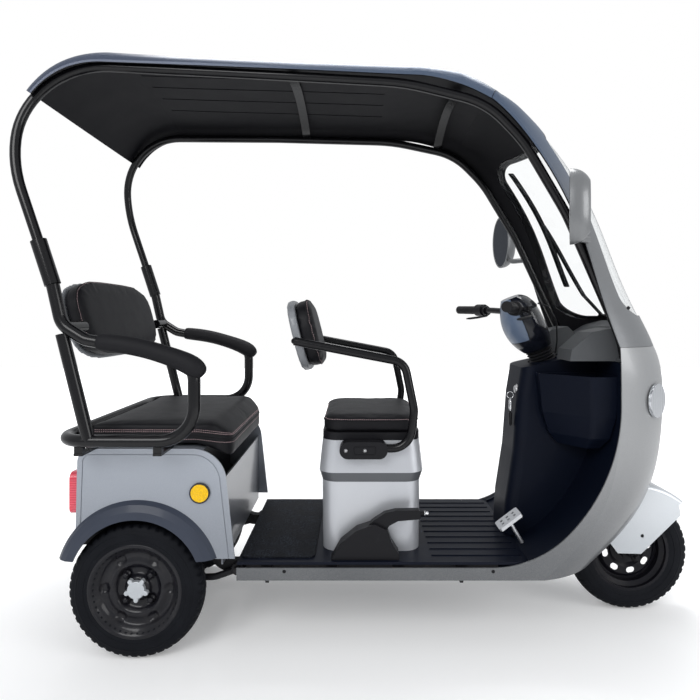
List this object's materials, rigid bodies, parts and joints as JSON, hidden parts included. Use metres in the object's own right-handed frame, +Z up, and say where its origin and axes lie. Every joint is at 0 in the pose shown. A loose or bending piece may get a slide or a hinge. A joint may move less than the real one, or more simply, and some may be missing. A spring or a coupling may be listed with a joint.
{
  "type": "auto rickshaw",
  "caption": "Electric passenger tricycle with a roof on tube hoops, curved windscreen, driver's saddle, rear bench with arm rails and small road wheels.",
  "frame": {"origin": "on the ground, below the middle of the vehicle's length and width", "axes": "+X forward, +Y to the driver's left, +Z up"},
  "size_m": [2.1099, 0.8662, 1.7979],
  "materials": {
    "alloy": "satin",
    "black_plastic": "satin",
    "black_rubber": "matt",
    "black_tube": "gloss",
    "black_wheel": "satin",
    "bright_silver": "gloss silver",
    "cap_silver": "satin silver",
    "clear_glass": "clear",
    "dark_mat": "stippled",
    "dark_steel": "matt",
    "dark_vinyl": "satin vinyl",
    "flare_grey": "satin",
    "gloss_black": "gloss",
    "grey_plastic": "satin",
    "grey_trim": "grained",
    "lamp_clear": "gloss",
    "lamp_red": "gloss",
    "lining_black": "matt",
    "mirror_glass": "polished",
    "navy_floor": "satin",
    "navy_plastic": "satin",
    "panel_blue": "satin silver-blue",
    "reflector_yellow": "gloss",
    "roof_grey": "satin dark silver",
    "silver_body": "gloss silver",
    "tyre_rubber": "matt"
  },
  "bodies": {
    "chassis": {"armrest_pads": "dark_vinyl", "backrest_pads": "dark_vinyl", "backrest_shells": "grey_plastic", "battery_pack": "black_plastic", "bench_frame": "black_tube", "brake_pedal": "alloy", "cabin_linings": "lining_black", "chassis_crossmembers": "dark_steel", "chassis_rails": "dark_steel", "column_cover": "navy_plastic", "dash_top": "grey_trim", "driver_back_hoop": "black_tube", "driver_seat_box": "silver_body", "floor_tray": "navy_floor", "front_fairing": "silver_body", "glove_pockets": "navy_plastic", "head_tube": "dark_steel", "headlamps": "lamp_clear", "hoop_side_covers": "black_plastic", "leg_shield": "navy_plastic", "mirror_glasses": "mirror_glass", "mirrors": "black_plastic", "parking_brake": "black_plastic", "rear_axle": "dark_steel", "rear_body": "silver_body", "rear_bulkhead": "gloss_black", "rear_fenders": "flare_grey", "rear_floor_mat": "dark_mat", "rear_suspension": "dark_steel", "roof_hoops": "black_tube", "roof_panel": "roof_grey", "side_reflectors": "reflector_yellow", "tail_lamps": "lamp_red", "wheel_housings": "black_plastic", "windscreen": "clear_glass", "windscreen_frame": "silver_body", "wiper": "black_plastic"},
    "steering": {"steering_fork": "dark_steel", "front_fender": "bright_silver", "handlebar": "black_tube", "handlebar_grips": "black_rubber", "bar_controls": "black_plastic", "brake_cables": "black_rubber", "head_cowl": "gloss_black", "instrument_panel": "panel_blue", "column_bellows": "black_rubber"},
    "front_wheel": {"front_tyre": "tyre_rubber", "front_rim": "black_wheel"},
    "rear_wheel_left": {"rear_tyre_left": "tyre_rubber", "rear_rim_left": "black_wheel", "hub_cap_left": "cap_silver"},
    "rear_wheel_right": {"rear_tyre_right": "tyre_rubber", "rear_rim_right": "black_wheel", "hub_cap_right": "cap_silver"},
    "driver_seat": {"driver_seat_base": "black_plastic", "driver_cushion": "dark_vinyl"},
    "bench_seat": {"bench_cushion": "dark_vinyl"}
  },
  "joints": [
    {"name": "steering", "type": "hinge", "parent": "chassis", "child": "steering", "pos_m": [0.855, 0, 0.2], "axis": [-0.4004, 0, 0.9164], "range_deg": [-32, 32]},
    {"name": "front_wheel_spin", "type": "hinge", "parent": "steering", "child": "front_wheel", "pos_m": [0.855, 0, 0.2], "axis": [0, 1, 0], "continuous": true},
    {"name": "rear_wheel_left_spin", "type": "hinge", "parent": "chassis", "child": "rear_wheel_left", "pos_m": [-0.737, 0.28, 0.2], "axis": [0, 1, 0], "continuous": true},
    {"name": "rear_wheel_right_spin", "type": "hinge", "parent": "chassis", "child": "rear_wheel_right", "pos_m": [-0.737, -0.28, 0.2], "axis": [0, 1, 0], "continuous": true},
    {"name": "driver_seat_lid", "type": "hinge", "parent": "chassis", "child": "driver_seat", "pos_m": [0.121, 0, 0.622], "axis": [0, 1, 0], "range_deg": [0, 75]},
    {"name": "bench_seat_lid", "type": "hinge", "parent": "chassis", "child": "bench_seat", "pos_m": [-0.458, 0, 0.562], "axis": [0, 1, 0], "range_deg": [0, 70]}
  ]
}
